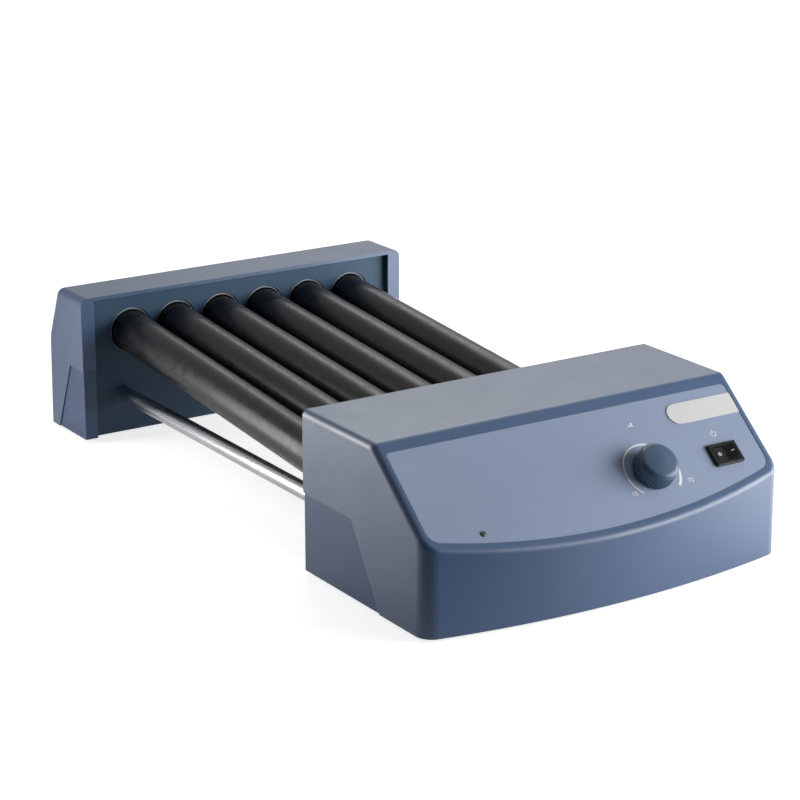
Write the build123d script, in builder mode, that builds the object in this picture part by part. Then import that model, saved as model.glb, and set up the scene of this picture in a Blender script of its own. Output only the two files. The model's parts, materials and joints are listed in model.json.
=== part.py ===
from build123d import *
import math
import os

os.makedirs("parts", exist_ok=True)

# Tube roller: six driven rollers between two housings, which roll and rock sample tubes.
# X points right seen from the control panel, Y from the panel to the rear housing, Z up.
# The origin lies on the table, under the middle of the whole machine. Sizes are in millimetres.

# Driving sizes of the housings
housing_width = 240.0
housing_height = 94.0
bay_length = 272.0
front_depth = 134.0
front_bow = 13.0
top_depth = 70.0
panel_angle = 40.4
rear_depth = 48.0
rear_top_depth = 35.0
rear_break_depth = 46.0
rear_break_height = 68.0
wall = 2.6
corner_radius = 10.0
rear_corner_radius = 5.0
rear_edge_radius = 4.0
edge_radius = 4.0
crease_radius = 6.0
hole_clearance = 0.1
foot_height = 2.0
foot_diameter = 15.0
foot_chamfer = 0.6

# Rims and trays
rim_depth = 4.5
rim_width = 9.2
plate_thickness = 3.0
plate_foot_rise = 0.4
plate_floor_gap = 0.2
tray_thickness = 2.2
ear_height = 46.0
ear_recess = 0.6
ear_wall = 2.8
front_ear_top_depth = 49.5
front_ear_foot_depth = 78.0
rear_ear_top_depth = 19.0
rear_ear_foot_depth = 38.0
seam_gap = 0.3

# Rollers and their rocking frame
roller_count = 6
roller_pitch = 33.0
roller_diameter = 26.0
roller_bore = 22.0
rest_tilt = 4.8
pivot_height = 69.0
ball_diameter = 12.0
ball_clearance = 0.15
socket_lip = 3.6
sleeve_end_gap = 3.0
journal_diameter = 8.0
journal_clearance = 0.08
port_clearance = 0.9
port_ring_wall = 1.2
port_ring_inset = 1.0
port_ring_flange = 0.8
slot_clearance = 1.6

# Drive
belt_diameter = 3.5
belt_clearance = 0.15
groove_pitch = 5.5
pulley_pitch_radius = 9.0
pulley_rim = 1.0
drive_pitch_radius = 12.0
motor_drop = 20.0
crank_start = 296.0
crank_pin_length = 4.0
crank_pin_diameter = 5.0
crank_disc_thickness = 4.0
drive_shaft_diameter = 4.0
axial_gap = 1.5
carriage_thickness = 4.0
carriage_length = 188.0
carriage_top = 13.0
carriage_bottom = 34.0
bush_diameter = 12.0
bush_flange_width = 1.8
bush_flange_thickness = 1.2
bush_tail = 3.0
pulley_bush_gap = 0.8
gearbox_diameter = 25.0
gearbox_length = 19.0
motor_diameter = 24.0
motor_length = 25.0
link_thickness = 4.0
link_eye_radius = 6.0
link_plate_gap = 2.0
link_stud_height = 10.6

# Tie rods
tie_rod_diameter = 10.0
tie_rod_margin = 31.5
tie_rod_height = 27.5
tie_rod_thread = 8.0
tie_rod_nut_width = 13.0
tie_rod_nut_height = 6.5
rod_end_length = 2.0

# Rear bearing plate
bearing_plate_thickness = 4.0
bearing_plate_corner = 4.0
bearing_plate_side_gap = 6.4
bearing_plate_top_gap = 2.4
bearing_spacer_length = 9.0
bearing_spacer_diameter = 8.0
bearing_spacer_side_inset = 6.0
bearing_spacer_top_inset = 4.0
stud_diameter = 6.0
stud_neck_diameter = 5.0
stud_flange = 2.0
stud_tail = 1.5
stud_nut_width = 10.0
stud_nut_height = 5.0

# Control panel: places are counted down from its crease and in from the sides of the housing
overlay_top_margin = 7.2
overlay_side_margin = 5.5
overlay_bottom_margin = 5.0
overlay_bottom_corner = 8.0
overlay_top_corner = 2.5
overlay_thickness = 0.8
overlay_pocket = 1.0
overlay_gap = 0.15
knob_from_right = 82.4
knob_down = 51.4
knob_diameter = 25.0
knob_height = 12.4
knob_skirt_height = 9.0
knob_flutes = 36
switch_from_right = 30.6
switch_down = 51.2
switch_bezel_width = 20.0
switch_bezel_height = 14.0
switch_cut_width = 18.4
switch_cut_height = 12.4
rocker_throw = 12.0
lamp_from_left = 37.6
lamp_down = 65.3
lamp_diameter = 3.6
badge_from_right = 53.4
badge_down = 20.5
badge_height = 13.2
badge_thickness = 0.5
badge_side_gap = 0.4
board_from_left = 60.0
board_down = 38.0

# Places worked out from the driving sizes
half_width = housing_width / 2
overall_length = front_depth + bay_length + rear_depth
front_mid_y = -overall_length / 2
front_side_y = front_mid_y + front_bow
front_rim_y = front_mid_y + front_depth
rear_rim_y = front_rim_y + bay_length
rear_back_y = rear_rim_y + rear_depth
base_z = foot_height
top_z = base_z + housing_height
floor_z = base_z + tray_thickness
crease_y = front_rim_y - top_depth
front_plate_y = front_rim_y - rim_depth
front_plate_inside_y = front_plate_y - plate_thickness
rear_plate_y = rear_rim_y + rim_depth
rear_plate_inside_y = rear_plate_y + plate_thickness
pivot_y = rear_plate_y + plate_thickness / 2
tie_rod_x = half_width - tie_rod_margin
knob_x = half_width - knob_from_right
switch_x = half_width - switch_from_right
lamp_x = lamp_from_left - half_width
badge_left_x = half_width - badge_from_right
board_x = board_from_left - half_width
bearing_plate_length = 2 * (half_width - wall - bearing_plate_side_gap)
bearing_plate_height = 2 * (top_z - pivot_height - wall - bearing_plate_top_gap)
tilt_sin = math.sin(math.radians(rest_tilt))
tilt_cos = math.cos(math.radians(rest_tilt))
panel_sin = math.sin(math.radians(panel_angle))
panel_cos = math.cos(math.radians(panel_angle))
roller_xs = [(i - (roller_count - 1) / 2) * roller_pitch for i in range(roller_count)]
sleeve_front = pivot_y - front_rim_y - sleeve_end_gap
crank_radius = (crank_start + crank_pin_length / 2) * tilt_sin / 2
disc_start = crank_start + crank_pin_length
pulley_start = disc_start + crank_disc_thickness + axial_gap
pulley_length = 3 * groove_pitch
carriage_start = pulley_start + pulley_length + bush_flange_thickness + pulley_bush_gap
gearbox_start = carriage_start + carriage_thickness
motor_start = gearbox_start + gearbox_length
motor_x = 0.0
driven_roller = roller_count // 2


def station(distance):
    """Plane square to the resting rollers, this far in front of their rear pivots."""
    origin = (0, pivot_y - distance * tilt_cos, pivot_height - distance * tilt_sin)
    return Plane(origin=origin, x_dir=(1, 0, 0), z_dir=(0, -tilt_cos, -tilt_sin))


def axial_plane(x, drop):
    """Plane through a shaft of the rocking frame: local X is radius, local Y is distance."""
    origin = (x, pivot_y + drop * tilt_sin, pivot_height - drop * tilt_cos)
    return Plane(origin=origin, x_dir=(1, 0, 0), z_dir=(0, tilt_sin, -tilt_cos))


def panel_at(x, down):
    """Plane on the sloping panel: local X to the right, local Y up the slope, Z outwards."""
    origin = (x, crease_y - down * panel_cos, top_z - down * panel_sin)
    return Plane(origin=origin, x_dir=(1, 0, 0), z_dir=(0, -panel_sin, panel_cos))


panel_plane = panel_at(0, 0)


def front_form(inset, bottom_z, back_y):
    """Solid form of the front housing, with its faces set in by inset."""
    with BuildPart() as form:
        with BuildSketch(Plane.XY.offset(bottom_z)):
            with BuildLine():
                ThreePointArc((-half_width, front_side_y), (0, front_mid_y), (half_width, front_side_y))
                Polyline(
                    (half_width, front_side_y),
                    (half_width, back_y + inset),
                    (-half_width, back_y + inset),
                    (-half_width, front_side_y),
                )
            make_face()
            fillet(vertices().group_by(Axis.Y)[0], corner_radius)
            if inset:
                offset(amount=-inset)
        extrude(amount=top_z - bottom_z)
        with BuildSketch(Plane.YZ):
            with BuildLine():
                slope_run = crease_y - front_mid_y
                Polyline(
                    (back_y + inset, bottom_z - inset),
                    (back_y + inset, top_z),
                    (crease_y, top_z),
                    (front_mid_y - 2, top_z - (slope_run + 2) * panel_sin / panel_cos),
                    (front_mid_y - 2, bottom_z - inset),
                    close=True,
                )
            make_face()
            if inset:
                offset(amount=-inset)
        extrude(amount=half_width, both=True, mode=Mode.INTERSECT)
    return form.part


def rear_form(inset, bottom_z, rim_y):
    """Solid form of the rear housing, with its faces set in by inset."""
    with BuildPart() as form:
        with BuildSketch(Plane.YZ):
            with BuildLine():
                Polyline(
                    (rim_y - inset, bottom_z - inset),
                    (rim_y - inset, top_z),
                    (rear_rim_y + rear_top_depth, top_z),
                    (rear_rim_y + rear_break_depth, base_z + rear_break_height),
                    (rear_back_y, bottom_z - inset),
                    close=True,
                )
            make_face()
            if inset:
                offset(amount=-inset)
        extrude(amount=half_width - inset, both=True)
    return form.part


def ear_prism(rim_y, top_y, foot_y, amount):
    """Block of the tray ears across the whole width, grown or shrunk at its edges by amount."""
    with BuildPart() as prism:
        with BuildSketch(Plane.YZ):
            with BuildLine():
                Polyline(
                    (rim_y, base_z),
                    (rim_y, base_z + ear_height),
                    (top_y, base_z + ear_height),
                    (foot_y, base_z),
                    close=True,
                )
            make_face()
            if amount:
                offset(amount=amount, kind=Kind.INTERSECTION)
        extrude(amount=half_width + 1, both=True)
    return prism.part


def front_ear(amount):
    """Ears of the front tray."""
    top_y = front_rim_y - front_ear_top_depth
    foot_y = front_rim_y - front_ear_foot_depth
    return ear_prism(front_rim_y, top_y, foot_y, amount)


def rear_ear(amount):
    """Ears of the rear tray."""
    top_y = rear_rim_y + rear_ear_top_depth
    foot_y = rear_rim_y + rear_ear_foot_depth
    return ear_prism(rear_rim_y, top_y, foot_y, amount)


def rim_opening(inset, near_y, far_y):
    """Block that opens a housing between its side rims."""
    with BuildPart() as block:
        with Locations((0, (near_y + far_y) / 2, (base_z + top_z - wall) / 2 - 1)):
            Box(housing_width - 2 * rim_width - 2 * inset, abs(far_y - near_y), top_z - wall - base_z + 2)
    return block.part


def overlay_outline(shrink):
    """Outline of the inset control panel sheet, smaller than its pocket by shrink."""
    half = half_width - overlay_side_margin
    side_y = front_side_y - front_bow * (1 - (half / half_width) ** 2)
    side_down = (crease_y - side_y) / panel_cos - overlay_bottom_margin
    mid_down = (crease_y - front_mid_y) / panel_cos - overlay_bottom_margin
    with BuildSketch() as outline:
        with BuildLine():
            ThreePointArc((-half, -side_down), (0, -mid_down), (half, -side_down))
            Polyline(
                (half, -side_down),
                (half, -overlay_top_margin),
                (-half, -overlay_top_margin),
                (-half, -side_down),
            )
        make_face()
        fillet(vertices().group_by(Axis.Y)[0], overlay_bottom_corner)
        fillet(vertices().group_by(Axis.Y)[-1], overlay_top_corner)
        if shrink:
            offset(amount=-shrink)
    return outline.sketch


# Front cover
lug_size = 9.0
lug_height = 10.0
lug_roof = 1.0
lug_into_wall = 0.5
lug_setback = 22.0
lug_spacing = 20.0
screw_diameter = 3.0
screw_clearance = 0.2
plate_screw_inset = 6.5
plate_screw_ear_margin = 10.0
plate_screw_top_margin = 12.0
plate_screw_skin = 1.0
pot_bush_diameter = 7.0
front_lug_x = half_width - wall - lug_size / 2 + lug_into_wall
front_lug_ys = (crease_y - lug_setback, crease_y - lug_setback - lug_spacing)
plate_screw_x = half_width - plate_screw_inset
plate_screw_zs = (base_z + ear_height + plate_screw_ear_margin, top_z - plate_screw_top_margin)

with BuildPart() as front_cover:
    add(front_form(0, base_z, front_rim_y))
    fillet(edges().filter_by(Axis.X).filter_by_position(Axis.Y, crease_y - 1, crease_y + 1), crease_radius)
    panel_edges = faces().filter_by(panel_plane)[0].edges().filter_by(Axis.X, reverse=True)
    fillet(panel_edges + edges().filter_by(Axis.Y).group_by(Axis.Z)[-1], edge_radius)
    add(front_form(wall, base_z - 1, front_plate_y), mode=Mode.SUBTRACT)
    add(rim_opening(0, front_plate_y - 1, front_rim_y + 1), mode=Mode.SUBTRACT)
    for side in (-1, 1):
        for lug_y in front_lug_ys:
            with Locations((side * front_lug_x, lug_y, floor_z + lug_height / 2)):
                Box(lug_size, lug_size, lug_height)
            with Locations((side * front_lug_x, lug_y, floor_z)):
                Cylinder(screw_diameter / 2, 2 * (lug_height - lug_roof), mode=Mode.SUBTRACT)
    add(front_ear(0), mode=Mode.SUBTRACT)
    with BuildSketch(panel_plane):
        add(overlay_outline(0))
    extrude(amount=-overlay_pocket, mode=Mode.SUBTRACT)
    with BuildSketch(panel_plane):
        with Locations((knob_x, -knob_down)):
            Circle(pot_bush_diameter / 2 + hole_clearance)
        with Locations((switch_x, -switch_down)):
            Rectangle(switch_cut_width, switch_cut_height)
        with Locations((lamp_x, -lamp_down)):
            Circle(lamp_diameter / 2 + hole_clearance)
    extrude(amount=2 * wall, both=True, mode=Mode.SUBTRACT)
    with BuildSketch(Plane.XZ.offset(-front_rim_y + rim_depth)):
        for side in (-1, 1):
            with Locations(*[(side * plate_screw_x, z) for z in plate_screw_zs]):
                Circle(screw_diameter / 2)
    extrude(amount=plate_screw_skin - rim_depth, mode=Mode.SUBTRACT)
front_cover.part.label = "front_cover"
export_step(front_cover.part, "parts/front_cover.step")

# Front tray with its two side ears and the hole for the power inlet
inlet_setback = 24.0
inlet_height = 22.0
inlet_diameter = 11.0
foot_side_margin = 24.0
foot_front_margin = 22.0
foot_rear_margin = 16.0
rim_step = 0.6
inlet_y = front_rim_y - inlet_setback
inlet_z = base_z + inlet_height
foot_x = half_width - foot_side_margin
front_foot_y = front_side_y + foot_front_margin
rear_foot_y = rear_back_y - foot_rear_margin

with BuildPart() as front_ears:
    add(front_form(ear_recess, base_z, front_rim_y - rim_step))
    add(front_form(ear_recess + ear_wall, base_z - 1, front_plate_y), mode=Mode.SUBTRACT)
    add(rim_opening(0, front_plate_y - 1, front_rim_y + 1), mode=Mode.SUBTRACT)
    add(front_ear(-seam_gap), mode=Mode.INTERSECT)

with BuildPart() as front_floor:
    add(front_form(wall + seam_gap, base_z, front_plate_inside_y - plate_floor_gap))
    with Locations((0, 0, floor_z + top_z)):
        Box(2 * housing_width, 2 * overall_length, 2 * top_z, mode=Mode.SUBTRACT)

with BuildPart() as front_tray:
    add(front_ears.part)
    add(front_floor.part)
    with BuildSketch(Plane.YZ.offset(half_width)):
        with Locations((inlet_y, inlet_z)):
            Circle(inlet_diameter / 2 + hole_clearance)
    extrude(amount=-rim_width, mode=Mode.SUBTRACT)
    for side in (-1, 1):
        for lug_y in front_lug_ys:
            with Locations((side * front_lug_x, lug_y, base_z)):
                Cylinder(screw_diameter / 2 + screw_clearance, 3 * tray_thickness, mode=Mode.SUBTRACT)
front_tray.part.label = "front_tray"
export_step(front_tray.part, "parts/front_tray.step")

# Rear cover and tray
rear_lug_wall_gap = 1.0
rear_lug_x = front_lug_x
rear_lug_y = rear_back_y - wall - lug_size / 2 - rear_lug_wall_gap

with BuildPart() as rear_cover:
    add(rear_form(0, base_z, rear_rim_y))
    fillet(edges().filter_by(Axis.Y).group_by(Axis.Z)[-1], rear_corner_radius)
    back_edges = edges().filter_by(Axis.X).filter_by_position(Axis.Z, base_z + lug_height, top_z + 1)
    fillet(back_edges.group_by(Axis.Y)[-2:], rear_edge_radius)
    add(rear_form(wall, base_z - 1, rear_plate_y), mode=Mode.SUBTRACT)
    add(rim_opening(0, rear_rim_y - 1, rear_plate_y + 1), mode=Mode.SUBTRACT)
    for side in (-1, 1):
        with Locations((side * rear_lug_x, rear_lug_y, floor_z + lug_height / 2)):
            Box(lug_size, lug_size, lug_height)
        with Locations((side * rear_lug_x, rear_lug_y, floor_z)):
            Cylinder(screw_diameter / 2, 2 * (lug_height - lug_roof), mode=Mode.SUBTRACT)
    add(rear_ear(0), mode=Mode.SUBTRACT)
    with BuildSketch(Plane.XZ.offset(-rear_plate_y)):
        for side in (-1, 1):
            with Locations(*[(side * plate_screw_x, z) for z in plate_screw_zs]):
                Circle(screw_diameter / 2)
    extrude(amount=rim_depth - plate_screw_skin, mode=Mode.SUBTRACT)
rear_cover.part.label = "rear_cover"
export_step(rear_cover.part, "parts/rear_cover.step")

with BuildPart() as rear_ears:
    add(rear_form(ear_recess, base_z, rear_rim_y + rim_step))
    add(rear_form(ear_recess + ear_wall, base_z - 1, rear_plate_y), mode=Mode.SUBTRACT)
    add(rim_opening(0, rear_rim_y - 1, rear_plate_y + 1), mode=Mode.SUBTRACT)
    add(rear_ear(-seam_gap), mode=Mode.INTERSECT)

with BuildPart() as rear_floor:
    add(rear_form(wall + seam_gap, base_z, rear_plate_inside_y + plate_floor_gap))
    with Locations((0, 0, floor_z + top_z)):
        Box(2 * housing_width, 2 * overall_length, 2 * top_z, mode=Mode.SUBTRACT)

with BuildPart() as rear_tray:
    add(rear_ears.part)
    add(rear_floor.part)
    for side in (-1, 1):
        with Locations((side * rear_lug_x, rear_lug_y, base_z)):
            Cylinder(screw_diameter / 2 + screw_clearance, 3 * tray_thickness, mode=Mode.SUBTRACT)
rear_tray.part.label = "rear_tray"
export_step(rear_tray.part, "parts/rear_tray.step")

# Inner plates, which carry the tie rods and the ends of the rollers
plate_side_gap = 0.6
plate_top_gap = 0.4
plate_half_width = half_width - ear_recess - ear_wall - plate_side_gap
plate_top_z = top_z - wall - plate_top_gap
plate_foot_z = base_z + plate_foot_rise
tab_length = 14.0
tab_width = 30.0
tab_x = half_width / 2
slot_low_z = pivot_height - (pivot_y - front_plate_y + plate_thickness / 2) * tilt_sin / tilt_cos
slot_width = journal_diameter + 2 * slot_clearance
port_radius = roller_diameter / 2 + port_clearance
port_hole_radius = port_radius + port_ring_wall

with BuildPart() as front_inner_plate:
    with BuildSketch(Plane.XZ.offset(-front_plate_y)):
        with Locations((0, (plate_foot_z + plate_top_z) / 2)):
            Rectangle(2 * plate_half_width, plate_top_z - plate_foot_z)
        with Locations(*[(x, (slot_low_z + pivot_height) / 2) for x in roller_xs]):
            SlotCenterToCenter(pivot_height - slot_low_z, slot_width, rotation=90, mode=Mode.SUBTRACT)
        with Locations((-tie_rod_x, tie_rod_height), (tie_rod_x, tie_rod_height)):
            Circle(tie_rod_thread / 2 + hole_clearance, mode=Mode.SUBTRACT)
        with Locations((0, link_stud_height)):
            Circle(stud_diameter / 2, mode=Mode.SUBTRACT)
        for side in (-1, 1):
            with Locations(*[(side * plate_screw_x, z) for z in plate_screw_zs]):
                Circle(screw_diameter / 2 + screw_clearance, mode=Mode.SUBTRACT)
    extrude(amount=plate_thickness)
    for side in (-1, 1):
        tab_y = front_plate_inside_y - tab_length / 2
        with Locations((side * tab_x, tab_y, floor_z + plate_thickness / 2)):
            Box(tab_width, tab_length, plate_thickness)
            Cylinder(screw_diameter / 2 + screw_clearance, 2 * plate_thickness, mode=Mode.SUBTRACT)
front_inner_plate.part.label = "front_inner_plate"
export_step(front_inner_plate.part, "parts/front_inner_plate.step")

spacer_x = bearing_plate_length / 2 - bearing_spacer_side_inset
spacer_rise = bearing_plate_height / 2 - bearing_spacer_top_inset
spacer_heights = (pivot_height - spacer_rise, pivot_height + spacer_rise)
spacer_spots = [(x, z) for x in (-spacer_x, 0, spacer_x) for z in spacer_heights]

with BuildPart() as rear_inner_plate:
    with BuildSketch(Plane.XZ.offset(-rear_plate_y)):
        with Locations((0, (plate_foot_z + plate_top_z) / 2)):
            Rectangle(2 * plate_half_width, plate_top_z - plate_foot_z)
        with Locations(*[(x, pivot_height) for x in roller_xs]):
            Circle(port_hole_radius, mode=Mode.SUBTRACT)
        with Locations((-tie_rod_x, tie_rod_height), (tie_rod_x, tie_rod_height)):
            Circle(tie_rod_thread / 2 + hole_clearance, mode=Mode.SUBTRACT)
        for side in (-1, 1):
            with Locations(*[(side * plate_screw_x, z) for z in plate_screw_zs]):
                Circle(screw_diameter / 2 + screw_clearance, mode=Mode.SUBTRACT)
    extrude(amount=-plate_thickness)
    for side in (-1, 1):
        with Locations((side * tab_x, rear_plate_inside_y + tab_length / 2, floor_z + plate_thickness / 2)):
            Box(tab_width, tab_length, plate_thickness)
            Cylinder(screw_diameter / 2 + screw_clearance, 2 * plate_thickness, mode=Mode.SUBTRACT)
rear_inner_plate.part.label = "rear_inner_plate"
export_step(rear_inner_plate.part, "parts/rear_inner_plate.step")

# Rings in the roller ports, set back a little and held by a flange behind the plate
with BuildPart() as port_rings:
    with BuildSketch(Plane.XZ.offset(-rear_plate_y - port_ring_inset)):
        with Locations(*[(x, pivot_height) for x in roller_xs]):
            Circle(port_hole_radius)
            Circle(port_radius, mode=Mode.SUBTRACT)
    extrude(amount=port_ring_inset - plate_thickness - port_ring_flange)
    with BuildSketch(Plane.XZ.offset(-rear_plate_inside_y)):
        with Locations(*[(x, pivot_height) for x in roller_xs]):
            Circle(port_hole_radius + port_ring_flange)
            Circle(port_radius, mode=Mode.SUBTRACT)
    extrude(amount=-port_ring_flange)
port_rings.part.label = "port_rings"
export_step(port_rings.part, "parts/port_rings.step")

# Rear bearing plate on spacers, with the ball studs that carry the rollers
bearing_front_y = rear_plate_inside_y + bearing_spacer_length
bearing_back_y = bearing_front_y + bearing_plate_thickness

with BuildPart() as bearing_plate:
    with BuildSketch(Plane.XZ.offset(-bearing_front_y)):
        with Locations((0, pivot_height)):
            RectangleRounded(bearing_plate_length, bearing_plate_height, bearing_plate_corner)
        with Locations(*[(x, pivot_height) for x in roller_xs]):
            Circle(stud_diameter / 2, mode=Mode.SUBTRACT)
    extrude(amount=-bearing_plate_thickness)
bearing_plate.part.label = "bearing_plate"
export_step(bearing_plate.part, "parts/bearing_plate.step")

with BuildPart() as bearing_spacers:
    with BuildSketch(Plane.XZ.offset(-rear_plate_inside_y)):
        with Locations(*spacer_spots):
            RegularPolygon(bearing_spacer_diameter / 2, 6, major_radius=False)
    extrude(amount=-bearing_spacer_length)
bearing_spacers.part.label = "bearing_spacers"
export_step(bearing_spacers.part, "parts/bearing_spacers.step")

with BuildPart() as ball_stud:
    with BuildSketch(Plane.XY):
        with BuildLine():
            ball_r = ball_diameter / 2
            neck_r = stud_neck_diameter / 2
            shank_r = stud_diameter / 2
            flange_y = bearing_front_y - pivot_y
            neck_y = math.sqrt(ball_r**2 - neck_r**2)
            tail_y = bearing_back_y - pivot_y + stud_nut_height + stud_tail
            ThreePointArc((0, -ball_r), (ball_r, 0), (neck_r, neck_y))
            Polyline(
                (neck_r, neck_y),
                (neck_r, flange_y - stud_flange),
                (ball_r, flange_y - stud_flange),
                (ball_r, flange_y),
                (shank_r, flange_y),
                (shank_r, tail_y),
                (0, tail_y),
                (0, -ball_r),
            )
        make_face()
    revolve(axis=Axis.Y)

with BuildPart() as ball_studs:
    with Locations(*[(x, pivot_y, pivot_height) for x in roller_xs]):
        add(ball_stud.part)
ball_studs.part.label = "ball_studs"
export_step(ball_studs.part, "parts/ball_studs.step")

with BuildPart() as ball_stud_nuts:
    with BuildSketch(Plane.XZ.offset(-bearing_back_y)):
        with Locations(*[(x, pivot_height) for x in roller_xs]):
            RegularPolygon(stud_nut_width / 2, 6, major_radius=False)
            Circle(stud_diameter / 2, mode=Mode.SUBTRACT)
    extrude(amount=-stud_nut_height)
ball_stud_nuts.part.label = "ball_stud_nuts"
export_step(ball_stud_nuts.part, "parts/ball_stud_nuts.step")

# Tie rods between the two inner plates, and their nuts
rod_tail = plate_thickness + tie_rod_nut_height + rod_end_length

for side, name in ((-1, "tie_rod_left"), (1, "tie_rod_right")):
    with BuildPart() as tie_rod:
        with BuildSketch(Plane.XZ.offset(-front_plate_y)):
            with Locations((side * tie_rod_x, tie_rod_height)):
                Circle(tie_rod_diameter / 2)
        extrude(amount=-(rear_plate_y - front_plate_y))
        with BuildSketch(Plane.XZ.offset(-front_plate_y + rod_tail)):
            with Locations((side * tie_rod_x, tie_rod_height)):
                Circle(tie_rod_thread / 2)
        extrude(amount=-(rear_plate_y - front_plate_y + 2 * rod_tail))
    tie_rod.part.label = name
    export_step(tie_rod.part, f"parts/{name}.step")

with BuildPart() as tie_rod_nuts:
    for nut_y, toward in ((front_plate_inside_y, 1), (rear_plate_inside_y, -1)):
        with BuildSketch(Plane.XZ.offset(-nut_y)):
            with Locations((-tie_rod_x, tie_rod_height), (tie_rod_x, tie_rod_height)):
                RegularPolygon(tie_rod_nut_width / 2, 6, major_radius=False)
                Circle(tie_rod_thread / 2, mode=Mode.SUBTRACT)
        extrude(amount=toward * tie_rod_nut_height)
tie_rod_nuts.part.label = "tie_rod_nuts"
export_step(tie_rod_nuts.part, "parts/tie_rod_nuts.step")

# Rubber feet
with BuildPart() as feet:
    with BuildSketch():
        with Locations(*[(s * foot_x, y) for s in (-1, 1) for y in (front_foot_y, rear_foot_y)]):
            Circle(foot_diameter / 2)
    extrude(amount=foot_height)
    chamfer(edges().group_by(Axis.Z)[0], foot_chamfer)
feet.part.label = "feet"
export_step(feet.part, "parts/feet.step")

# Screws of the trays, and of the inner plates
screw_head_diameter = 5.6
screw_head_height = 1.6
tray_screw_tip_gap = 3.0
plate_screw_tip_gap = 1.5
lug_spots = [(s * front_lug_x, y) for s in (-1, 1) for y in front_lug_ys]
lug_spots += [(s * rear_lug_x, rear_lug_y) for s in (-1, 1)]
with BuildPart() as tray_screws:
    with BuildSketch(Plane.XY.offset(base_z)):
        with Locations(*lug_spots):
            Circle(screw_diameter / 2)
    extrude(amount=tray_thickness + lug_height - tray_screw_tip_gap)
    with BuildSketch(Plane.XY.offset(base_z - screw_head_height)):
        with Locations(*lug_spots):
            Circle(screw_head_diameter / 2)
    extrude(amount=screw_head_height)
tray_screws.part.label = "tray_screws"
export_step(tray_screws.part, "parts/tray_screws.step")

with BuildPart() as plate_screws:
    for plate_y, toward in ((front_plate_inside_y, 1), (rear_plate_inside_y, -1)):
        spots = [(s * plate_screw_x, z) for s in (-1, 1) for z in plate_screw_zs]
        with BuildSketch(Plane.XZ.offset(-plate_y)):
            with Locations(*spots):
                Circle(screw_head_diameter / 2)
        extrude(amount=toward * screw_head_height)
        with BuildSketch(Plane.XZ.offset(-plate_y)):
            with Locations(*spots):
                Circle(screw_diameter / 2)
        extrude(amount=-toward * (plate_thickness + rim_depth - plate_screw_tip_gap))
plate_screws.part.label = "plate_screws"
export_step(plate_screws.part, "parts/plate_screws.step")

# Stud on the front inner plate for the foot of the crank link, with its retaining head
stud_shoulder_radius = 4.0
stud_head_thickness = 1.0
link_pin_radius = 2.5
link_side_gap = 0.2
link_back_y = front_plate_inside_y - link_plate_gap
link_front_y = link_back_y - link_thickness
with BuildPart() as link_stud:
    with BuildSketch(Plane.XZ.offset(-front_plate_y)):
        with Locations((0, link_stud_height)):
            Circle(stud_diameter / 2)
    extrude(amount=plate_thickness)
    with BuildSketch(Plane.XZ.offset(-front_plate_inside_y)):
        with Locations((0, link_stud_height)):
            Circle(stud_shoulder_radius)
    extrude(amount=link_plate_gap - link_side_gap)
    with BuildSketch(Plane.XZ.offset(-front_plate_inside_y)):
        with Locations((0, link_stud_height)):
            Circle(link_pin_radius)
    extrude(amount=link_plate_gap + link_thickness - link_side_gap)
    with BuildSketch(Plane.XZ.offset(-link_front_y - link_side_gap)):
        with Locations((0, link_stud_height)):
            Circle(stud_shoulder_radius)
    extrude(amount=-stud_head_thickness)
link_stud.part.label = "link_stud"
export_step(link_stud.part, "parts/link_stud.step")

# Crank link from the stud up to the crank pin, sunk around the head of the stud
link_waist = 3.0
link_sink_clearance = 0.3
link_sink_depth = stud_head_thickness + 3 * link_side_gap
crank_centre_z = pivot_height - (crank_start + crank_pin_length / 2) * tilt_sin - motor_drop * tilt_cos
link_top_z = crank_centre_z + crank_radius
with BuildPart() as crank_link:
    with BuildSketch(Plane.XZ.offset(-link_back_y)):
        with Locations((0, (link_stud_height + link_top_z) / 2)):
            Rectangle(2 * link_eye_radius - link_waist, link_top_z - link_stud_height)
        with Locations((0, link_stud_height), (0, link_top_z)):
            Circle(link_eye_radius)
        with Locations((0, link_stud_height)):
            Circle(link_pin_radius + journal_clearance, mode=Mode.SUBTRACT)
        with Locations((0, link_top_z)):
            Circle(crank_pin_diameter / 2 + journal_clearance, mode=Mode.SUBTRACT)
    extrude(amount=link_thickness)
    with BuildSketch(Plane.XZ.offset(-link_front_y)):
        with Locations((0, link_stud_height)):
            Circle(stud_shoulder_radius + link_sink_clearance)
    extrude(amount=-link_sink_depth, mode=Mode.SUBTRACT)
crank_link.part.label = "crank_link"
export_step(crank_link.part, "parts/crank_link.step")

# Carriage plate, which rocks with the front ends of the rollers
motor_screw_radius = 8.5
motor_screw_diameter = 3.0
motor_screw_reach = 6.0
gearbox_boss_radius = 4.3
carriage_corner = 6.0
lightening_x = 66.0
lightening_drop = 22.0
lightening_width = 40.0
lightening_height = 14.0
lightening_corner = 3.0
motor_screw_spots = [(motor_x + s * motor_screw_radius, -motor_drop) for s in (-1, 1)]

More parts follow.
